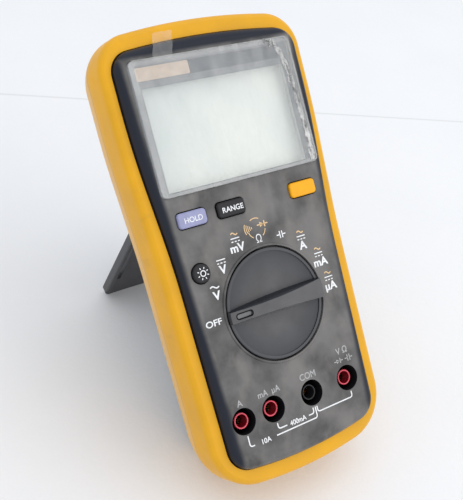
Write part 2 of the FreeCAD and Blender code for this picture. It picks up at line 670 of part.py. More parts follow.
def current_shunt():
    """Thick resistance wire bent over the board."""
    path_radius = 4.0
    x0, y, z = -25.6, -52.2, PCB_BACK_Z
    legs = [post(x0 + s * path_radius, y, 0.8, z - 4, z) for s in (-1, 1)]
    arch = Part.makeTorus(path_radius, 0.8, V(x0, y, z - 4), V(0, 1, 0), 0, 360)
    arch = arch.common(box(x0 - 8, x0 + 8, y - 3, y + 3, z - 12, z - 4))
    return joined(legs + [arch])


def buzzer():
    disc = ring(0, 66, 10.0, 1.2, PCB_BACK_Z - 5.0, PCB_BACK_Z)
    return disc.cut(post(0, 66, 8.5, PCB_BACK_Z - 4.2, PCB_BACK_Z - 1))


def capacitors():
    shapes = [post(x, y, 3.1, PCB_BACK_Z - 7.0, PCB_BACK_Z) for x, y in ((22, 62), (-22, 62), (-22, 46))]
    return Part.makeCompound([s.makeFillet(0.5, level_edges(s, PCB_BACK_Z - 7.0)) for s in shapes])


def resistor_bank():
    """Row of small fixed resistors."""
    shapes = []
    for k in range(8):
        x = -14 + 4 * k
        shapes.append(box(x - 0.8, x + 0.8, 33.5, 36.7, PCB_BACK_Z - 0.6, PCB_BACK_Z))
    return Part.makeCompound(shapes)


# ---------------------------------------------------------------- stand
def tilt_stand():
    """Plate with a rail down each side, drawn folded and then swung open."""
    y_foot = STAND_PIVOT_Y - STAND_LENGTH - 1.0
    z_back = STAND_PIVOT_Z - STAND_BARREL
    plate = box(-STAND_HALF, STAND_HALF, y_foot, STAND_PIVOT_Y, z_back, z_back + STAND_PLATE)
    plate = plate.makeFillet(STAND_CORNER, upright_edges(plate, lambda p: p.y < y_foot + 1))
    barrel = bar_x(-STAND_HALF, STAND_HALF, STAND_PIVOT_Y, STAND_PIVOT_Z, STAND_BARREL)
    rails = []
    slots = []
    for side in (-1, 1):
        outer = side * STAND_HALF
        inner = side * (STAND_HALF - STAND_RAIL)
        x0, x1 = sorted((outer, inner))
        rail = box(x0, x1, y_foot + STAND_CORNER + 1, STAND_PIVOT_Y, z_back, z_back + STAND_PLATE + 1.2)
        rails.append(rail.makeFillet(0.9, [e for e in rail.Edges if e.BoundBox.YLength > 40]))
        s0, s1 = sorted((inner, side * (STAND_HALF - STAND_RAIL - STAND_SLOT)))
        slots.append(box(s0, s1, y_foot + 17, STAND_PIVOT_Y - 9, z_back - 1, z_back + 6))
    rib = box(-8, 8, y_foot + 20, y_foot + 22, z_back, z_back + 4.4)
    stand = joined([plate, barrel, rib] + rails).cut(slots)
    pins = [bar_x(side * 28 - 2, side * 28 + 2, STAND_PIVOT_Y, STAND_PIVOT_Z, TRUNNION_RADIUS) for side in (-1, 1)]
    return joined([stand] + pins)


def stand_angle():
    """Opening at which the foot of the stand meets the floor."""
    up = lean_normal()
    pivot = V(0, STAND_PIVOT_Y, STAND_PIVOT_Z)
    height = pivot.dot(up) - FLOOR_LEVEL
    return LEAN + math.degrees(math.acos(height / STAND_LENGTH))


def open_stand():
    stand = tilt_stand()
    stand.rotate(V(0, STAND_PIVOT_Y, STAND_PIVOT_Z), V(1, 0, 0), stand_angle())
    return stand.cut(below_floor(FLOOR_LEVEL))


# ---------------------------------------------------------------- the whole meter
def all_parts():
    parts = {
        "bumper": bumper(), "front_case": front_case(), "rear_case": rear_case(),
        "case_screws": Part.makeCompound([case_screw(x, y) for x, y in CASE_SCREWS]),
        "battery_door": battery_door(), "battery_door_screw": battery_door_screw(),
        "tilt_stand": open_stand(),
        "display_lens": display_lens(), "lens_gasket": lens_gasket(),
        "protective_film": protective_film(), "film_tape": film_tape(),
        "lcd_glass": lcd_glass(), "lcd_frame": lcd_frame(), "light_guide": light_guide(),
        "contact_strip": contact_strip(),
        "selector_knob": selector_knob(), "knob_pointer": knob_pointer(),
        "switch_rotor": switch_rotor(), "switch_wipers": switch_wipers(), "detent_ring": detent_ring(),
        "button_backlight": round_key(), "keypad_membrane": keypad_membrane(),
        "main_board": main_board(),
        "board_screws": Part.makeCompound([board_screw(x, y) for x, y in PCB_SCREWS]),
        "cell_left": cell(-1), "cell_right": cell(1), "cell_contacts": cell_contacts(),
        "front_chip": front_chip(), "main_chip": main_chip(), "crystal": crystal(),
        "surge_discs": surge_discs(), "thermistors": thermistors(), "current_shunt": current_shunt(),
        "buzzer": buzzer(), "capacitors": capacitors(), "resistor_bank": resistor_bank(),
    }
    for name, x, y in KEYS:
        parts[name] = key_cap(x, y)
    for name, x in JACKS:
        parts["jack_tube_" + name] = jack_tube(x)
        parts["jack_contact_" + name] = jack_contact(x)
    for name, length, side in FUSES:
        parts[name] = fuse(length, side)
        parts[name + "_clips"] = fuse_clips(length, side)
    return parts


def stand_up(parts):
    """Lean the meter back and set it on the floor, centred over the origin."""
    for shape in parts.values():
        shape.rotate(V(0, 0, 0), V(1, 0, 0), 90 - LEAN)
        shape.translate(V(0, 0, -FLOOR_LEVEL))
    whole = Part.makeCompound(list(parts.values())).optimalBoundingBox()
    middle = (whole.YMin + whole.YMax) / 2
    for shape in parts.values():
        shape.translate(V(0, -middle, 0))
    return parts


PARTS = stand_up(all_parts())
os.makedirs("parts", exist_ok=True)
for name, shape in PARTS.items():
    shape.exportStep("parts/" + name + ".step")
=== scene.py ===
"""Handheld digital multimeter on its tilt stand: finishes, print and fine pieces on the CAD frame.

Lengths are millimetres in the meter's own flat frame (x right, y up the length, z out of the
face), and FACE carries them into the row frame in metres.
"""
import json
import math

import bmesh
import bpy
from mathutils import Matrix, Vector, noise


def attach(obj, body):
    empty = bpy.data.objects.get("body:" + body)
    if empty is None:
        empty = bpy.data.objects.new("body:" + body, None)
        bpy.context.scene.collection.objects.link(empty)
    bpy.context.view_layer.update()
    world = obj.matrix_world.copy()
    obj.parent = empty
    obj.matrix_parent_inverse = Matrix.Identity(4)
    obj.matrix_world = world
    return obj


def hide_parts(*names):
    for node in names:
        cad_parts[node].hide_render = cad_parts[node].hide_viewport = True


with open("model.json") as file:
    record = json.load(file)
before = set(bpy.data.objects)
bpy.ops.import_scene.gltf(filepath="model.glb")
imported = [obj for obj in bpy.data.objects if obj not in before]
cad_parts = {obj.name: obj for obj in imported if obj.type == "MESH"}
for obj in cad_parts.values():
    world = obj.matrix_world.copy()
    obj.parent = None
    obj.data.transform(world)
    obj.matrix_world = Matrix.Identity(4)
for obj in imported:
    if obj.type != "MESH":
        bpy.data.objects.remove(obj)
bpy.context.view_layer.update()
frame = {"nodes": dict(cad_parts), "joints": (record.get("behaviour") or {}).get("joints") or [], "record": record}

# ---- levels and places shared with the CAD model, millimetres
PANEL_Z = 3.6
KNOB = (0.0, -23.6)
LENS_BOTTOM_Z = 2.2
LENS_TOP_Z = 4.9
KEY_TOP_Z = 4.7
KEY_SIZE = (12.4, 6.0)
KEY_GAP = 0.4
KEYS = {"hold": (-26.3, 16.9), "range": (-9.0, 16.9), "function": (25.4, 16.9)}
ROUND_KEY = (-28.5, -3.8)
ROUND_KEY_RADIUS = 3.75
JACKS = {"a": -26.75, "ma": -12.9, "com": 5.9, "v": 24.2}
JACK_Y = -62.7
JACK_WELL_RADIUS = 5.2
JACK_FLOOR_Z = -20.0
JACK_TUBE_TOP_Z = 1.6
WINDOW_HALF = 36.3
WINDOW_Y = (26.0, 78.0)
VIEW_HALF = 32.0                 # the part of the display that shows
VIEW_Y = (27.6, 67.3)
LEAN = math.radians(45)
INK_LIFT = 0.03
KNOB_TOP_Z = 6.9
CROWN = 242.0                    # radius of the crest of the knob's bar
POINTER_X = (-19.4, -12.8)

# ---- places found for this view and this film
CAMERA_SPOT = (-171.84, 25.88, 286.18)
CAMERA_TURN = (41.02, -41.93, 13.06)          # heading, pitch and roll in degrees
CAMERA_LENS = 61.23
FLOOR_HALF = 4.0                              # metres
SEAM_FACING = (0.402, 0.647, -0.647)          # level direction across the floor's seam
SEAM_DISTANCE = 224.2
FILM_FOLDS = ((30.4, 0.4), (31.8, 0.5), (35.2, 0.5))      # (x, height) of the long folds
TAPE_X = -25.4                                # left edge of the tab where it leaves the film
TAPE_WIDTH = 8.3
TAPE_SLANT = math.radians(27)


def joint(name):
    return next(j for j in frame["joints"] if j["name"] == name)


def face_matrix():
    """Flat frame in millimetres to row frame in metres."""
    turn = Matrix.Rotation(LEAN, 4, "X") @ Matrix.Scale(0.001, 4)
    knob_face = Vector(joint("selector_turn")["pos_m"])
    return Matrix.Translation(knob_face - turn @ Vector((KNOB[0], KNOB[1], PANEL_Z))) @ turn


FACE = face_matrix()
FACE_UP = (FACE.to_3x3() @ Vector((0, 0, 1))).normalized()


# ---------------------------------------------------------------- camera, floor and light
def add_camera():
    heading, pitch, roll = (math.radians(angle) for angle in CAMERA_TURN)
    ahead = Vector((math.sin(heading) * math.cos(pitch),
                    math.cos(heading) * math.cos(pitch),
                    math.sin(pitch)))
    level = Vector((math.cos(heading), -math.sin(heading), 0))
    right = level * math.cos(roll) + level.cross(ahead) * math.sin(roll)
    up = right.cross(ahead)
    data = bpy.data.cameras.new("camera")
    data.lens = CAMERA_LENS
    data.sensor_width = 36
    data.clip_start = 0.01
    camera = bpy.data.objects.new("camera", data)
    spot = FACE @ Vector(CAMERA_SPOT)
    camera.matrix_world = Matrix.Translation(spot) @ Matrix((right, up, -ahead)).transposed().to_4x4()
    bpy.context.scene.collection.objects.link(camera)
    bpy.context.scene.camera = camera


def add_light(name, direction, distance, size, power, colour):
    data = bpy.data.lights.new(name, "AREA")
    data.size = size
    data.energy = power
    data.color = colour
    light = bpy.data.objects.new(name, data)
    aim = Vector(direction).normalized()
    light.location = Vector((0, 0, 0.06)) + aim * distance
    light.rotation_euler = aim.to_track_quat("Z", "Y").to_euler()
    bpy.context.scene.collection.objects.link(light)


def light_studio():
    world = bpy.data.worlds.new("studio")
    world.use_nodes = True
    world.node_tree.nodes["Background"].inputs["Color"].default_value = (0.93, 0.96, 1.0, 1)
    world.node_tree.nodes["Background"].inputs["Strength"].default_value = 0.97
    bpy.context.scene.world = world
    bpy.context.scene.view_settings.view_transform = "Standard"
    add_light("key", (0.52, -0.70, 0.5), 1.1, 0.8, 2.8, (1.0, 0.96, 0.91))
    add_light("top", (0.1, 0.1, 1.0), 1.2, 1.2, 2.0, (1.0, 0.99, 0.97))


# ---------------------------------------------------------------- materials
class Finish:
    """A procedural material under construction; its pattern follows the body it is on."""

    def __init__(self, name, **fixed):
        self.material = bpy.data.materials.new(name)
        self.material.use_nodes = True
        self.nodes = self.material.node_tree.nodes
        self.links = self.material.node_tree.links
        self.shader = self.nodes["Principled BSDF"]
        self.place = self.flat_place()
        for socket, value in fixed.items():
            self.shader.inputs[socket.replace("_", " ")].default_value = value

    def flat_place(self):
        """Place on the piece in the flat frame, in millimetres."""
        back = FACE.inverted()
        spread = self.nodes.new("ShaderNodeMapping")
        spread.inputs["Scale"].default_value = back.to_scale()
        spread.inputs["Rotation"].default_value = back.to_euler()
        spread.inputs["Location"].default_value = back.translation
        self.link(self.nodes.new("ShaderNodeTexCoord").outputs["Object"], spread, "Vector")
        return spread.outputs["Vector"]

    def add(self, kind, **values):
        node = self.nodes.new("ShaderNode" + kind)
        for key, value in values.items():
            setattr(node, key, value)
        return node

    def link(self, output, target, socket):
        self.links.new(output, target.inputs[socket])

    def cloud(self, size_mm, detail=4.0, stretch=(1, 1, 1)):
        """Noise whose blots are about that size."""
        spread = self.add("Mapping")
        spread.inputs["Scale"].default_value = stretch
        self.link(self.place, spread, "Vector")
        blots = self.add("TexNoise")
        blots.inputs["Scale"].default_value = 1 / size_mm
        blots.inputs["Detail"].default_value = detail
        self.link(spread.outputs["Vector"], blots, "Vector")
        return blots.outputs["Fac"]

    def specks(self, size_mm, cover):
        """Round dots scattered on a lattice; cover is how much of each cell a dot may fill."""
        cells = self.add("TexVoronoi")
        cells.inputs["Scale"].default_value = 1 / size_mm
        self.link(self.place, cells, "Vector")
        return self.span(cells.outputs["Distance"], cover, 0.0, 0.0, 1.0)

    def axis(self, name):
        split = self.add("SeparateXYZ")
        self.link(self.place, split, "Vector")
        return split.outputs[name]

    def frame_band(self, half_x, mid_y, half_y, fade):
        """0 inside a rectangle centred on x = 0, rising to 1 over the fade outside it."""
        side = self.combine("SUBTRACT", self.combine("ABSOLUTE", self.axis("X"), 0), half_x)
        ends = self.combine("ABSOLUTE", self.combine("SUBTRACT", self.axis("Y"), mid_y), 0)
        out = self.combine("MAXIMUM", side, self.combine("SUBTRACT", ends, half_y))
        return self.span(out, 0.0, fade, 0, 1)

    def span(self, value, low, high, to_low, to_high, curve="LINEAR"):
        """value mapped from low..high to to_low..to_high and held there beyond."""
        remap = self.add("MapRange", interpolation_type=curve)
        for socket, number in (("From Min", low), ("From Max", high),
                               ("To Min", to_low), ("To Max", to_high)):
            remap.inputs[socket].default_value = number
        self.link(value, remap, "Value")
        return remap.outputs["Result"]

    def combine(self, how, first, second):
        node = self.add("Math", operation=how)
        for socket, value in ((0, first), (1, second)):
            if isinstance(value, (int, float)):
                node.inputs[socket].default_value = value
            else:
                self.link(value, node, socket)
        return node.outputs["Value"]

    def tint(self, factor, first, second):
        """Colour between first and second; either may be a colour or a node's output."""
        mix = self.add("Mix", data_type="RGBA")
        self.link(factor, mix, "Factor")
        for socket, colour in ((6, first), (7, second)):
            if isinstance(colour, tuple):
                mix.inputs[socket].default_value = (*colour, 1)
            else:
                self.links.new(colour, mix.inputs[socket])
        return mix.outputs[2]

    def relief(self, height, depth_mm, strength=1.0):
        bump = self.add("Bump")
        bump.inputs["Strength"].default_value = strength
        bump.inputs["Distance"].default_value = depth_mm / 1000
        self.link(height, bump, "Height")
        if self.shader.inputs["Normal"].links:
            self.links.new(self.shader.inputs["Normal"].links[0].from_socket, bump.inputs["Normal"])
        self.link(bump.outputs["Normal"], self.shader, "Normal")

    def colour(self, output):
        self.link(output, self.shader, "Base Color")

    def rough(self, value, low, high):
        self.link(self.span(value, 0.3, 0.7, low, high), self.shader, "Roughness")

    def done(self):
        return self.material


def shade(tone, amount):
    return tuple(min(1.0, c * amount) for c in tone)


def moulded(name, tone, roughness, grain_mm=0.35, grain_depth=0.02, blot_mm=14, blot=0.14, **fixed):
    """Moulded plastic or rubber: fine grain, slow changes of tone, uneven gloss."""
    finish = Finish(name, **fixed)
    broad = finish.cloud(blot_mm)
    grain = finish.cloud(grain_mm, 2.0)
    mottle = finish.span(broad, 0.35, 0.65, 0, 1)
    finish.colour(finish.tint(mottle, shade(tone, 1 - blot), shade(tone, 1 + blot)))
    finish.rough(broad, roughness - 0.06, roughness + 0.06)
    finish.relief(grain, grain_depth)
    return finish


def metal(name, tone, roughness, brush=(1, 14, 1)):
    """Plated or turned metal with fine brushing."""
    finish = Finish(name, Metallic=1.0)
    streaks = finish.cloud(1.2, 3.0, brush)
    stain = finish.cloud(6.0)
    finish.colour(finish.tint(stain, shade(tone, 0.8), shade(tone, 1.1)))
    finish.rough(streaks, roughness - 0.08, roughness + 0.1)
    finish.relief(streaks, 0.01)
    return finish


def near_knob(finish):
    """Distance from the knob's centre along the panel."""
    gap = finish.add("VectorMath", operation="DISTANCE")
    finish.link(finish.place, gap, 0)
    gap.inputs[1].default_value = (KNOB[0], KNOB[1], PANEL_Z)
    return gap.outputs["Value"]


def panel_edge(finish):
    """0 on the flat of the panel, rising to 1 at its rolled edge; it masks the edge's painted shade and its
    relief.
    """
    lean_in = finish.combine("MULTIPLY", finish.axis("Y"), -0.0453)
    side = finish.combine("ADD", finish.combine("ABSOLUTE", finish.axis("X"), 0), lean_in)
    sides = finish.span(side, 33.4, 35.8, 0, 1, "SMOOTHSTEP")
    return finish.combine("MAXIMUM", sides, finish.span(finish.axis("Y"), 77.8, 80.0, 0, 1, "SMOOTHSTEP"))


def panel_finish():
    """Charcoal plastic, spark-textured, with handling smears, a rolled edge painted dark blue-black as shade, and
    a dish round the knob.
    """
    tone = (0.112, 0.108, 0.106)
    finish = Finish("panel_plastic", Specular_IOR_Level=0.25)
    smear = finish.cloud(16, 5.0)
    base = finish.tint(finish.span(smear, 0.35, 0.65, 0, 1), shade(tone, 0.55), shade(tone, 1.5))
    dust = finish.span(finish.cloud(9.0, 9.0, (1, 0.6, 1)), 0.48, 0.72, 0, 0.8)
    dusty = finish.tint(dust, base, (0.2, 0.188, 0.178))
    edge = panel_edge(finish)
    # painted shade: the rolled edge is coloured near black-blue
    finish.colour(finish.tint(edge, dusty, (0.012, 0.015, 0.025)))
    finish.rough(smear, 0.32, 0.48)
    finish.relief(finish.cloud(0.45, 3.0), 0.05)
    finish.relief(finish.span(edge, 0, 1, 1, 0), 0.5)
    finish.relief(finish.span(near_knob(finish), 25.5, 33.5, 0, 1, "SMOOTHSTEP"), 0.9)
    return finish.done()


def knob_finish():
    """Charcoal plastic with painted shade: darker towards the dish's low edge and on the steep flank of the bar
    that faces up the meter.
    """
    tone = (0.085, 0.084, 0.088)
    finish = Finish("knob_plastic", Specular_IOR_Level=0.4)
    broad = finish.cloud(10, 5.0)
    base = finish.tint(finish.span(broad, 0.35, 0.65, 0, 1), shade(tone, 0.75), shade(tone, 1.2))
    # painted shade: the dish darkens towards its edge, low down
    dish_edge_shade = finish.span(near_knob(finish), 9.0, 20.5, 0, 0.75)
    low = finish.span(finish.axis("Z"), PANEL_Z, PANEL_Z + 0.8, 1, 0)
    shaded = finish.tint(finish.combine("MULTIPLY", dish_edge_shade, low), base, (0.022, 0.025, 0.034))
    # painted shade: the bar's steep flank that faces up the meter is made near black
    flank = finish.add("VectorMath", operation="DOT_PRODUCT")
    finish.link(finish.add("TexCoord").outputs["Normal"], flank, 0)
    flank.inputs[1].default_value = (FACE.to_3x3() @ Vector((0, 1, 0))).normalized()
    flank_shade = finish.span(flank.outputs["Value"], 0.4, 0.8, 0, 0.9)
    finish.colour(finish.tint(flank_shade, shaded, (0.008, 0.01, 0.016)))
    finish.rough(broad, 0.36, 0.5)
    finish.relief(finish.cloud(0.4, 2.0), 0.03)
    return finish.done()


def bumper_finish():
    """Yellow rubber with a few darker rub marks, a groove round the middle with painted shade along it, and
    painted light tinting the part behind it a lighter tan.
    """
    tone = (0.78, 0.385, 0.006)
    finish = Finish("bumper_rubber", Sheen_Weight=0.2, Sheen_Roughness=0.4,
                    Sheen_Tint=(1.0, 0.82, 0.6, 1), Specular_IOR_Level=0.35)
    broad = finish.cloud(22)
    marks = finish.span(finish.cloud(5.0, 6.0, (1, 1, 0.3)), 0.64, 0.8, 0, 0.35)
    base = finish.tint(finish.span(broad, 0.35, 0.65, 0, 1), shade(tone, 0.93), shade(tone, 1.05))
    # painted light: behind the groove the rubber is tinted lighter tan, as light reflected from the floor
    back_painted_light = finish.span(finish.axis("Z"), -12.8, -14.2, 0, 0.45)
    groove = finish.combine("ABSOLUTE", finish.combine("SUBTRACT", finish.axis("Z"), -13.2), 0)
    marks_and_painted_light = finish.tint(back_painted_light, finish.tint(marks, base, (0.5, 0.26, 0.03)), (0.74, 0.46, 0.19))
    # painted shade: a darker line along the groove
    finish.colour(finish.tint(finish.span(groove, 0.1, 0.6, 0.4, 0), marks_and_painted_light, (0.42, 0.2, 0.01)))
    finish.rough(broad, 0.45, 0.6)
    finish.relief(finish.span(groove, 0.0, 0.6, 0, 1), 0.15)
    finish.relief(finish.cloud(0.3, 2.0), 0.02)
    return finish.done()


def display_finish():
    """Unlit grey-green liquid crystal with a faint cloudy tone and painted shade darkening it towards the upper
    left.
    """
    finish = Finish("display_cell", Roughness=0.32, Specular_IOR_Level=0.4)
    cloud = finish.cloud(30, 2.0)
    tone = finish.tint(finish.span(cloud, 0.35, 0.65, 0, 1), (0.82, 0.86, 0.81), (0.96, 0.95, 0.87))
    # painted shade: darker and bluer towards the upper left
    across = finish.combine("SUBTRACT", finish.axis("X"), finish.axis("Y"))
    tone = finish.tint(finish.span(across, -95, -40, 0.7, 0), tone, (0.6, 0.68, 0.67))
    pixels = finish.cloud(0.2, 1.0)
    finish.colour(finish.tint(finish.span(pixels, 0.3, 0.7, 0, 0.12), tone, (0.5, 0.55, 0.5)))
    finish.relief(pixels, 0.004)
    return finish.done()


def lens_finish():
    """Clear acrylic with hairline scuffs."""
    finish = Finish("lens_acrylic", Base_Color=(0.82, 0.86, 0.86, 1), IOR=1.49, Alpha=0.14)
    scuff = finish.cloud(2.0, 6.0, (1, 8, 1))
    finish.rough(scuff, 0.06, 0.16)
    finish.relief(scuff, 0.004)
    return finish.done()


def film_finish(name, haze_low, haze_high, border=0.0, grime=0.95):
    """Thin clear plastic with cloudy adhesive, creases that catch light and trapped specks."""
    finish = Finish(name, IOR=1.45)
    crease = finish.cloud(5.0, 6.0, (1, 0.35, 0.35))
    clean = (0.92, 0.91, 0.89)
    dirt = finish.span(finish.cloud(2.6, 8.0, (1.6, 0.4, 1)), 0.42, 0.52, 0, 1)
    finish.colour(finish.tint(dirt, shade(clean, grime), clean))
    haze = finish.span(crease, 0.35, 0.75, haze_low, haze_high)
    edge = finish.span(finish.frame_band(33.4, 51.6, 23.8, 0.5), 0, 1, 0, border)
    specks = finish.specks(7.0, 0.03)
    finish.link(finish.combine("MAXIMUM", finish.combine("ADD", haze, edge), specks), finish.shader, "Alpha")
    finish.rough(crease, 0.14, 0.3)
    finish.relief(crease, 0.05)
    return finish.done()


def ink_finish(name, tone):
    """Screen-printed ink, a little worn and uneven."""
    finish = moulded(name, tone, 0.5, 0.2, 0.01, 2.5, 0.08)
    return finish.done()


def board_finish():
    """Green solder mask over copper tracks."""
    finish = Finish("board_laminate", Coat_Weight=0.3)
    tracks = finish.add("TexBrick")
    tracks.inputs["Scale"].default_value = 0.16
    finish.link(finish.place, tracks, "Vector")
    finish.colour(finish.tint(tracks.outputs["Fac"], (0.02, 0.16, 0.06), (0.05, 0.26, 0.1)))
    finish.rough(finish.cloud(8), 0.25, 0.4)
    finish.relief(tracks.outputs["Fac"], 0.03)
    return finish.done()


def cell_finish():
    """Printed plastic sleeve of a battery, with a plain band at one end."""
    finish = Finish("cell_sleeve", Coat_Weight=0.5)
    band = finish.span(finish.axis("Y"), -12.0, -11.9, 0, 1)
    base = finish.tint(band, (0.02, 0.02, 0.02), (0.55, 0.33, 0.12))
    finish.colour(finish.tint(finish.span(finish.cloud(6), 0.3, 0.7, 0, 0.3), base, (0.3, 0.2, 0.1)))
    finish.rough(finish.cloud(4), 0.2, 0.35)
    return finish.done()


def make_materials():
    charcoal = (0.05, 0.05, 0.054)
    made = {
        "bumper": bumper_finish(),
        "panel": panel_finish(),
        "back_shell": moulded("back_shell_plastic", (0.06, 0.06, 0.064), 0.5, 0.6, 0.05).done(),
        "screw": metal("zinc_screw", (0.5, 0.5, 0.52), 0.35).done(),
        "stand": moulded("stand_plastic", charcoal, 0.42, 0.5, 0.03).done(),
        "lens": lens_finish(),
        "gasket": moulded("gasket_foam", (0.012, 0.012, 0.012), 0.85, 0.5, 0.08).done(),
        "film": film_finish("film_sheet", 0.04, 0.2, 0.14),
        "tape": film_finish("film_tab", 0.1, 0.22),
        "crease": film_finish("film_creases", 0.35, 1.0, grime=0.4),
        "lcd": display_finish(),
        "carrier": moulded("carrier_plastic", (0.6, 0.6, 0.58), 0.4).done(),
        "light_guide": moulded("light_guide_plastic", (0.8, 0.8, 0.78), 0.2, 0.4, 0.01).done(),
        "knob": knob_finish(),
        "pointer": moulded("pointer_inlay", (0.13, 0.135, 0.14), 0.4, 0.3, 0.01, 2, 0.1).done(),
        "rotor": moulded("rotor_plastic", (0.75, 0.74, 0.7), 0.35).done(),
        "contact": metal("sprung_brass", (0.78, 0.58, 0.3), 0.25).done(),
        "key_lavender": moulded("key_lavender_rubber", (0.29, 0.3, 0.48), 0.42, 0.25, 0.02, 5, 0.08).done(),
        "key_black": moulded("key_black_rubber", (0.014, 0.014, 0.016), 0.45, 0.25, 0.02, 5, 0.2,
                             Specular_IOR_Level=0.3).done(),
        "key_yellow": moulded("key_yellow_rubber", (0.9, 0.4, 0.004), 0.45, 0.25, 0.02, 5, 0.06,
                              Specular_IOR_Level=0.3).done(),
        "membrane": moulded("membrane_silicone", (0.45, 0.45, 0.47), 0.5).done(),
        "board": board_finish(),
        "cell": cell_finish(),
        "spring_plate": metal("spring_steel", (0.62, 0.62, 0.62), 0.3).done(),
        "chip": moulded("chip_resin", (0.02, 0.02, 0.022), 0.5, 0.2, 0.02).done(),
        "can": metal("crystal_can", (0.7, 0.7, 0.7), 0.25).done(),
        "varistor": moulded("varistor_epoxy", (0.03, 0.09, 0.4), 0.35).done(),
        "thermistor": moulded("thermistor_epoxy", (0.05, 0.22, 0.08), 0.35).done(),
        "buzzer": moulded("buzzer_plastic", (0.02, 0.02, 0.02), 0.4).done(),
        "fuse": moulded("fuse_ceramic", (0.78, 0.77, 0.72), 0.3, 0.4, 0.02).done(),
        # painted shade and highlight: the red tube is made very dark so its bore reads as shaded, and its rim
        # faces get a lighter copy as a painted highlight
        "jack_red": moulded("jack_red_plastic", (0.16, 0.003, 0.007), 0.3, 0.3, 0.01, 4, 0.1,
                            Coat_Weight=0.3).done(),
        "jack_red_rim": moulded("jack_red_rim", (0.8, 0.09, 0.13), 0.3, 0.3, 0.01, 4, 0.1).done(),
        # the black tube likewise: a lighter copy on its rim as a painted highlight
        "jack_black": moulded("jack_black_plastic", (0.006, 0.006, 0.007), 0.5, 0.3, 0.01, 4, 0.1,
                              Specular_IOR_Level=0.25).done(),
        "jack_black_rim": moulded("jack_black_rim", (0.015, 0.015, 0.016), 0.45, 0.3, 0.01, 4, 0.1).done(),
        # black, used for the jack wells and as painted shade in the key gaps and round the pointer
        "black_and_shade_lining": moulded("well_black_and_painted_shade", (0.004, 0.004, 0.005), 0.8, 0.4, 0.02, 5, 0.1,
                          Specular_IOR_Level=0.12).done(),
        "white_ink": ink_finish("white_ink", (0.82, 0.83, 0.84)),
        "tan_ink": ink_finish("tan_ink", (0.78, 0.53, 0.27)),
        "grey_ink": ink_finish("grey_ink", (0.4, 0.4, 0.4)),
        "mask_ink": ink_finish("mask_ink", (0.2, 0.205, 0.215)),
        "header_ink": ink_finish("header_ink", (0.1, 0.106, 0.12)),
        "badge_ink": ink_finish("badge_ink", (0.58, 0.45, 0.35)),
    }
    return made


def dress_frame(made):
    """Each CAD node takes the finish of its slot in the record."""
    for part in frame["record"]["subparts"]:
        node = frame["nodes"][part["node"]]
        node.data.materials.clear()
        node.data.materials.append(made[part["material_slot"]])


# ---------------------------------------------------------------- mesh helpers
def add_piece(name, verts, faces, material, body="meter", smooth=True):
    """Mesh drawn in the flat frame, riding on a body."""
    mesh = bpy.data.meshes.new(name)
    mesh.from_pydata([FACE @ Vector(v) for v in verts], [], faces)
    work = bmesh.new()
    work.from_mesh(mesh)
    bmesh.ops.remove_doubles(work, verts=work.verts, dist=1e-7)
    bmesh.ops.recalc_face_normals(work, faces=work.faces)
    work.to_mesh(mesh)
    work.free()
    mesh.shade_smooth() if smooth else mesh.shade_flat()
    mesh.materials.append(material)
    obj = bpy.data.objects.new(name, mesh)
    bpy.context.scene.collection.objects.link(obj)
    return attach(obj, body)


def ring_faces(rings, count):
    """Quads between closed rings of points, each ring listed after the one before."""
    faces = []
    for ring in range(rings - 1):
        for k in range(count):
            a, b = ring * count + k, ring * count + (k + 1) % count
            faces.append((a, b, b + count, a + count))
    return faces


def turned(name, x, y, profile, material, body="meter", steps=72):
    """Surface swept round an upright axis from (radius, z) points."""
    verts = []
    for radius, z in profile:
        for k in range(steps):
            angle = 2 * math.pi * k / steps
            verts.append((x + radius * math.cos(angle), y + radius * math.sin(angle), z))
    return add_piece(name, verts, ring_faces(len(profile), steps), material, body)


def arc(x, y, radius, start, end, steps=10):
    """Points along a circle, angles in degrees."""
    angles = [math.radians(start + (end - start) * k / steps) for k in range(steps + 1)]
    return [(x + radius * math.cos(a), y + radius * math.sin(a)) for a in angles]


def rounded_box(x0, x1, y0, y1, corner):
    """Outline of a rectangle with round corners."""
    points = []
    for x, y, start in ((x1, y1, 0), (x0, y1, 90), (x0, y0, 180), (x1, y0, 270)):
        cx = x - math.copysign(corner, x - (x0 + x1) / 2)
        cy = y - math.copysign(corner, y - (y0 + y1) / 2)
        points += arc(cx, cy, corner, start, start + 90, 6)
    return points


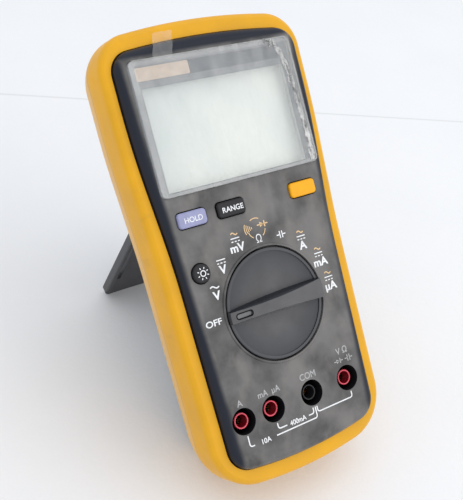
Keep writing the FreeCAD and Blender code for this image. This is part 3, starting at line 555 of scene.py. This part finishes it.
class Print:
    """Flat ink shapes gathered into one piece."""

    def __init__(self, z):
        self.z = z
        self.verts = []
        self.faces = []

    def patch(self, points, faces):
        start = len(self.verts)
        self.verts += [(x, y, self.z) for x, y in points]
        self.faces += [tuple(start + i for i in face) for face in faces]

    def polygon(self, points):
        self.patch(points, [tuple(range(len(points)))])

    def line(self, points, width):
        """Ribbon of even width along a path."""
        path = [Vector(p) for p in points]
        edges = []
        for k, point in enumerate(path):
            before = path[max(k - 1, 0)]
            after = path[min(k + 1, len(path) - 1)]
            along = (after - before).normalized()
            across = Vector((-along.y, along.x)) * width / 2
            edges += [tuple(point + across), tuple(point - across)]
        faces = [(2 * k, 2 * k + 1, 2 * k + 3, 2 * k + 2) for k in range(len(path) - 1)]
        self.patch(edges, faces)

    def letters(self, text, x, y, height, squeeze=1.0, weight=0.012):
        """Text centred on a point, set in the built-in font at that capital height."""
        points, faces = text_outline(text, weight)
        scale = height / CAPITAL
        self.patch([(x + p[0] * scale * squeeze, y + p[1] * scale - height / 2) for p in points], faces)

    def tilde(self, x, y, width=3.4, stroke=0.5):
        points = []
        for k in range(17):
            turn = k / 16
            points.append((x + (turn - 0.5) * width, y + 0.45 * math.sin(2 * math.pi * turn)))
        self.line(points, stroke)

    def bars(self, x, y, width=4.0, stroke=0.42):
        """Direct-current sign: a line over three dashes."""
        self.line([(x - width / 2, y + 0.62), (x + width / 2, y + 0.62)], stroke)
        for k in (-1, 0, 1):
            middle = x + k * width / 2.7
            self.line([(middle - width / 9, y - 0.62), (middle + width / 9, y - 0.62)], stroke)

    def diode(self, x, y, size=1.0):
        self.line([(x - 2.3 * size, y), (x + 2.3 * size, y)], 0.4 * size)
        back, tip = x - 1.1 * size, x + 0.7 * size
        self.polygon([(back, y + 0.95 * size), (back, y - 0.95 * size), (tip, y)])
        self.line([(x + 0.9 * size, y - 1.1 * size), (x + 0.9 * size, y + 1.1 * size)], 0.45 * size)

    def capacitor(self, x, y, size=1.0):
        for side in (-1, 1):
            self.line([(x + side * 0.45 * size, y), (x + side * 2.1 * size, y)], 0.45 * size)
            self.line([(x + side * 0.55 * size, y - 1.4 * size), (x + side * 0.55 * size, y + 1.4 * size)],
                      0.45 * size)

    def finish(self, name, material, body="meter"):
        return add_piece(name, self.verts, self.faces, material, body, smooth=False)


def text_outline(text, weight):
    """Filled outline of a text at size one: its points and faces."""
    curve = bpy.data.curves.new("text", "FONT")
    curve.body = text
    curve.align_x = "CENTER"
    curve.offset = weight
    holder = bpy.data.objects.new("text", curve)
    mesh = bpy.data.meshes.new_from_object(holder)
    points = [tuple(v.co[:2]) for v in mesh.vertices]
    faces = [tuple(p.vertices) for p in mesh.polygons]
    bpy.data.objects.remove(holder)
    bpy.data.curves.remove(curve)
    bpy.data.meshes.remove(mesh)
    return points, faces


def capital_height():
    points = text_outline("H", 0.0)[0]
    return max(p[1] for p in points)


CAPITAL = capital_height()


# ---------------------------------------------------------------- print on the panel
DIAL = [   # (step of 22.5 degrees from OFF, text, distance from the knob's centre, marks)
    (1, "V", 26.2, "~"), (2, "V", 26.6, "="), (3, "mV", 27.2, "=t"),
    (6, "A", 27.2, "=t"), (7, "mA", 27.6, "=t"), (8, "μA", 27.5, "=t")]
LETTER = 3.1
STEP = 22.5


def dial_place(step, radius):
    angle = math.radians(180 - STEP * step)
    return KNOB[0] + radius * math.cos(angle), KNOB[1] + radius * math.sin(angle)


def print_dial(made):
    white = Print(PANEL_Z + INK_LIFT)
    tan = Print(PANEL_Z + INK_LIFT)
    x, y = dial_place(0, 28.5)
    white.letters("OFF", x, y + 0.4, 2.3, 1.22, 0.02)
    for step, text, radius, marks in DIAL:
        x, y = dial_place(step, radius)
        if step > 4:
            y -= 0.8
        white.letters(text, x, y, LETTER, 1.05, 0.03)
        top = y + LETTER / 2
        if "~" in marks:
            white.tilde(x - 0.1, top + 1.7, 3.9)
        if "=" in marks:
            white.bars(x, top + 1.55)
        if "t" in marks:
            tan.tilde(x, top + 3.9, 3.0, 0.45)
    x, y = dial_place(5, 27.2)
    white.capacitor(x, y, 1.0)
    white.letters("Ω", *dial_place(4, 26.1), LETTER, 0.85, 0.0)
    tan_group(tan)
    white.finish("dial_labels", made["white_ink"])
    tan.finish("dial_second_labels", made["tan_ink"])


def tan_group(tan):
    """Sound and diode signs with the broken ring that ties them to the ohm sign."""
    for start, end in ((60, 120), (193, 237), (303, 347)):
        tan.line(arc(0.0, 6.6, 4.0, start, end), 0.35)
    for k in range(5):
        tan.line(arc(-1.3, 7.1, 0.8 + 0.82 * k, 150, 208), 0.36)
    tan.diode(3.1, 7.6, 1.1)


def print_jacks(made):
    grey = Print(PANEL_Z + INK_LIFT)
    y = JACK_Y + 7.2
    grey.letters("A", JACKS["a"], y, 2.4, 1.0, 0.015)
    grey.letters("mA  μA", JACKS["ma"] - 0.3, y, 2.4, 0.92, 0.015)
    grey.letters("COM", JACKS["com"], y, 2.5, 0.95, 0.015)
    grey.letters("V Ω", JACKS["v"] + 0.5, y + 4.3, 2.5, 0.95, 0.015)
    grey.diode(JACKS["v"] - 2.1, y + 0.5, 0.95)
    grey.capacitor(JACKS["v"] + 3.1, y + 0.5, 0.95)
    grey.finish("jack_labels", made["grey_ink"])


def bracket(ink, x0, x1, drop, gap=None):
    """Line that drops from one jack, runs across and rises to the next; gap leaves room for a rating."""
    top = JACK_Y - 5.8
    low = top - drop
    left = [(x0, top)] + arc(x0 + 1, low + 1, 1.0, 180, 270, 6)
    right = arc(x1 - 1, low + 1, 1.0, 270, 360, 6) + [(x1, top)]
    if gap:
        ink.line(left + [(gap[0], low)], 0.5)
        ink.line([(gap[1], low)] + right, 0.5)
    else:
        ink.line(left + right, 0.5)
    return low


def print_brackets(made):
    white = Print(PANEL_Z + INK_LIFT)
    high = (-24.8, -14.4)
    low = (-8.8, 1.9)
    y = bracket(white, JACKS["a"] - 0.1, 5.7, 4.4, high)
    white.letters("10A", sum(high) / 2, y, 1.9, 1.0, 0.02)
    y = bracket(white, JACKS["ma"], 4.6, 2.3, low)
    white.letters("400mA", sum(low) / 2, y, 1.9, 0.95, 0.02)
    bracket(white, 6.6, JACKS["v"] + 0.2, 2.4)
    white.finish("jack_brackets", made["white_ink"])


def print_keys(made):
    for name, text, shift, weight in (("hold", "HOLD", 0.3, 0.01), ("range", "RANGE", 0.5, 0.02)):
        x, y = KEYS[name]
        ink = Print(KEY_TOP_Z + INK_LIFT)
        ink.letters(text, x + shift, y - 0.2, 1.95, 1.02, weight)
        ink.finish("key_label_" + name, made["white_ink"], "key_" + name)
    x, y = ROUND_KEY
    ink = Print(KEY_TOP_Z + INK_LIFT)
    ink.line(arc(x + 0.5, y - 0.1, 1.05, 0, 360, 24), 0.4)
    for k in range(8):
        angle = math.radians(45 * k + 22.5)
        near, far = 1.75, 2.45
        ink.line([(x + 0.5 + near * math.cos(angle), y - 0.1 + near * math.sin(angle)),
                  (x + 0.5 + far * math.cos(angle), y - 0.1 + far * math.sin(angle))], 0.38)
    ink.finish("key_sign_backlight", made["white_ink"], "key_backlight")


def print_pointer_lip(made):
    """Dark line round the pointer, painted shade of the slot round it, following the crest of the knob's bar."""
    x0, x1 = POINTER_X
    outer = rounded_box(x0 - 0.5, x1 + 0.5, KNOB[1] - 1.3, KNOB[1] + 1.3, 1.2)
    inner = rounded_box(x0 - 0.05, x1 + 0.05, KNOB[1] - 0.85, KNOB[1] + 0.85, 0.8)
    lip = Print(KNOB_TOP_Z)
    lip.patch(outer + inner, ring_faces(2, len(outer)))
    lip.verts = [(x, y, z - CROWN + math.sqrt(CROWN * CROWN - x * x) + INK_LIFT) for x, y, z in lip.verts]
    lip.finish("pointer_lip", made["black_and_shade_lining"], "knob")


# ---------------------------------------------------------------- display window
def print_window(made):
    """Mask printed on the back of the lens, with a plain header band and a blank badge."""
    z = LENS_BOTTOM_Z + 0.05
    outer = rounded_box(-WINDOW_HALF + 0.3, WINDOW_HALF - 0.3, WINDOW_Y[0] + 0.3, WINDOW_Y[1] - 0.3, 2.4)
    inner = rounded_box(-VIEW_HALF, VIEW_HALF, VIEW_Y[0], VIEW_Y[1], 0.3)
    mask = Print(z)
    mask.patch(outer + inner, ring_faces(2, len(outer)))
    mask.finish("lens_mask", made["mask_ink"])
    header = Print(z + 0.04)
    header.polygon(rounded_box(-VIEW_HALF - 1.0, VIEW_HALF - 1.0, VIEW_Y[1] + 2.7, WINDOW_Y[1] - 2.6, 0.3))
    header.finish("lens_header", made["header_ink"])
    badge = Print(z + 0.08)
    badge.polygon(rounded_box(-VIEW_HALF - 0.9, -10.2, VIEW_Y[1] + 2.9, WINDOW_Y[1] - 2.7, 0.6))
    badge.finish("lens_badge_blank", made["badge_ink"])


def film_height(x, y):
    """Height of the loose film: nearly flat on the lens, with long folds beside its right edge."""
    wander = noise.noise(Vector((x * 0.35, y * 0.35, 4.2)))
    rise = 0.05 + 0.04 * (1 + wander)
    for fold, height in FILM_FOLDS:
        centre = fold + 0.25 * noise.noise(Vector((0.0, y * 0.12, fold)))
        rise += height * math.exp(-((x - centre) / 0.35) ** 2)
    return LENS_TOP_Z + rise


def grid_faces(columns, rows):
    """Quads of a grid whose points run along each row in turn."""
    row = columns + 1
    return [(j * row + i, j * row + i + 1, (j + 1) * row + i + 1, (j + 1) * row + i)
            for j in range(rows) for i in range(columns)]


def add_film(made):
    x0, x1 = -WINDOW_HALF + 0.2, WINDOW_HALF - 0.2
    y0, y1 = WINDOW_Y[0] + 0.2, WINDOW_Y[1] - 0.2
    across, up = 220, 80
    corner = 2.2
    verts = []
    for j in range(up + 1):
        y = y0 + (y1 - y0) * j / up
        near_end = max(0.0, corner - min(y - y0, y1 - y))
        pull = corner - math.sqrt(corner * corner - near_end * near_end)
        for i in range(across + 1):
            x = x0 + pull + (x1 - x0 - 2 * pull) * i / across
            verts.append((x, y, film_height(x, y)))
    film = add_piece("film_sheet", verts, grid_faces(across, up), made["film"])
    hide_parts("protective_film")


def crease_path(t):
    """Middle of the crumpled strip, from the top edge round to the lower right corner."""
    corners = [Vector(p) for p in ((24.0, 77.0), (33.0, 76.0), (31.5, 62.0), (34.2, 52.0), (33.4, 27.0))]
    while len(corners) > 1:
        corners = [a.lerp(b, t) for a, b in zip(corners, corners[1:])]
    return corners[0]


def add_crease(made):
    """Torn, crumpled strip of the film that has lifted from the lens."""
    columns, rows = 10, 260
    verts = []
    for j in range(rows + 1):
        t = j / rows
        middle = crease_path(t)
        along = (crease_path(min(t + 0.01, 1)) - crease_path(max(t - 0.01, 0))).normalized()
        across = Vector((along.y, -along.x))
        width = 2.0 + 2.2 * noise.noise(Vector((t * 14, 0.0, 9.0)))
        for i in range(columns + 1):
            side = i / columns - 0.5
            wobble = noise.noise(Vector((t * 45, i * 1.1, 3.0)))
            place = middle + across * (side * width + 0.25 * wobble)
            crumple = abs(noise.fractal(Vector((t * 34, i * 0.8, 6.0)), 0.5, 2.3, 6))
            verts.append((place.x, place.y, LENS_TOP_Z + 0.12 + 1.5 * crumple * (1 - 1.6 * side * side)))
    strip = add_piece("film_crease", verts, grid_faces(columns, rows), made["crease"])


def add_tape(made):
    """Clear tab that bridges from the film over the panel's rolled edge to the bumper."""
    path = [(76.6, 5.25), (78.0, 5.2), (78.8, 4.4), (79.6, 3.9), (81.2, 3.75), (82.6, 3.1), (83.8, 2.1),
            (85.0, 1.1), (86.2, 0.7), (87.6, 0.45)]
    columns = 12
    slant = math.tan(TAPE_SLANT)
    verts = []
    for y, z in path:
        for i in range(columns + 1):
            x = TAPE_X + TAPE_WIDTH * i / columns + (y - WINDOW_Y[1]) * slant
            ripple = 0.08 * noise.noise(Vector((x * 0.6, y * 0.5, 2.0)))
            verts.append((x, y + 0.1 * math.sin(x * 1.7), z + ripple))
    tape = add_piece("film_tab", verts, grid_faces(columns, len(path) - 1), made["tape"])
    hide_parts("film_tape")


# ---------------------------------------------------------------- fine pieces
def colour_rim(socket, x, rim_z, material):
    """Second material on the faces of a turned socket above a height."""
    socket.data.materials.append(material)
    rim_from = (FACE @ Vector((x, JACK_Y, rim_z))).dot(FACE_UP)
    for polygon in socket.data.polygons:
        if polygon.center.dot(FACE_UP) > rim_from:
            polygon.material_index = 1


def add_jacks(made):
    """Black sleeve inside each well and a turned tube with a raised rim and a tapered mouth."""
    r = JACK_WELL_RADIUS
    sleeve = [(r + 0.02, PANEL_Z - 0.02), (r - 0.12, PANEL_Z - 0.1), (r - 0.2, PANEL_Z - 0.5),
              (r - 0.22, JACK_FLOOR_Z + 0.3), (3.3, JACK_FLOOR_Z + 0.1)]
    top = JACK_TUBE_TOP_Z
    tube = [(3.18, JACK_FLOOR_Z), (3.18, top - 0.45), (3.08, top - 0.12), (2.88, top), (2.66, top - 0.04),
            (2.52, top - 0.25), (2.46, top - 3.4), (2.08, top - 3.7), (2.08, -2.9)]
    for name, x in JACKS.items():
        turned("well_sleeve_" + name, x, JACK_Y, sleeve, made["black_and_shade_lining"])
        colour = "jack_black" if name == "com" else "jack_red"
        socket = turned("jack_socket_" + name, x, JACK_Y, tube, made[colour])
        # rim faces take the lighter copy of the plastic: painted highlight
        colour_rim(socket, x, top - 0.3, made[colour + "_rim"])
        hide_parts("jack_tube_" + name)


def add_key_wells(made):
    """Black sleeve round each key, with a floor just below the panel that the key slides through, as painted shade
    of the gap round the key.
    """
    for name, (x, y) in KEYS.items():
        rings = []
        for grow, z in ((KEY_GAP + 0.22, PANEL_Z + 0.015), (KEY_GAP, PANEL_Z - 0.1),
                        (KEY_GAP - 0.03, PANEL_Z - 0.9), (0.04, PANEL_Z - 0.95)):
            w, h = KEY_SIZE[0] / 2 + grow, KEY_SIZE[1] / 2 + grow
            rings.append([(px, py, z) for px, py in rounded_box(x - w, x + w, y - h, y + h, 1.5 + grow)])
        verts = [point for ring in rings for point in ring]
        add_piece("key_well_" + name, verts, ring_faces(len(rings), len(rings[0])), made["black_and_shade_lining"])
    x, y = ROUND_KEY
    r = ROUND_KEY_RADIUS
    profile = [(r + 0.45, PANEL_Z + 0.015), (r + 0.34, PANEL_Z - 0.1), (r + 0.32, PANEL_Z - 0.9),
               (r + 0.04, PANEL_Z - 0.95)]
    turned("key_well_backlight", x, y, profile, made["black_and_shade_lining"])


def build_details(made):
    print_dial(made)
    print_jacks(made)
    print_brackets(made)
    print_keys(made)
    print_pointer_lip(made)
    print_window(made)
    add_film(made)
    add_crease(made)
    add_tape(made)
    add_jacks(made)
    add_key_wells(made)


def add_floor():
    """Pale foam board, with the seam where a second board starts behind the meter."""
    finish = Finish("floor_card", Roughness=0.8)
    base = finish.tint(finish.cloud(60, 3.0), (0.81, 0.82, 0.84), (0.86, 0.86, 0.865))
    behind = finish.add("VectorMath", operation="DOT_PRODUCT")
    finish.link(finish.place, behind, 0)
    behind.inputs[1].default_value = SEAM_FACING
    seam = finish.combine("ABSOLUTE", finish.combine("SUBTRACT", behind.outputs["Value"], SEAM_DISTANCE), 0)
    finish.colour(finish.tint(finish.span(seam, 0.2, 1.2, 0.35, 0), base, (0.5, 0.5, 0.5)))
    finish.relief(finish.cloud(9, 4.0), 0.15)
    finish.relief(finish.cloud(2.2, 3.0), 0.12)
    mesh = bpy.data.meshes.new("floor")
    half = FLOOR_HALF
    corners = [(-half, -half, 0), (half, -half, 0), (half, half, 0), (-half, half, 0)]
    mesh.from_pydata(corners, [], [(0, 1, 2, 3)])
    mesh.materials.append(finish.done())
    floor = bpy.data.objects.new("floor", mesh)
    bpy.context.scene.collection.objects.link(floor)


add_camera()
light_studio()
materials = make_materials()
dress_frame(materials)
build_details(materials)
add_floor()
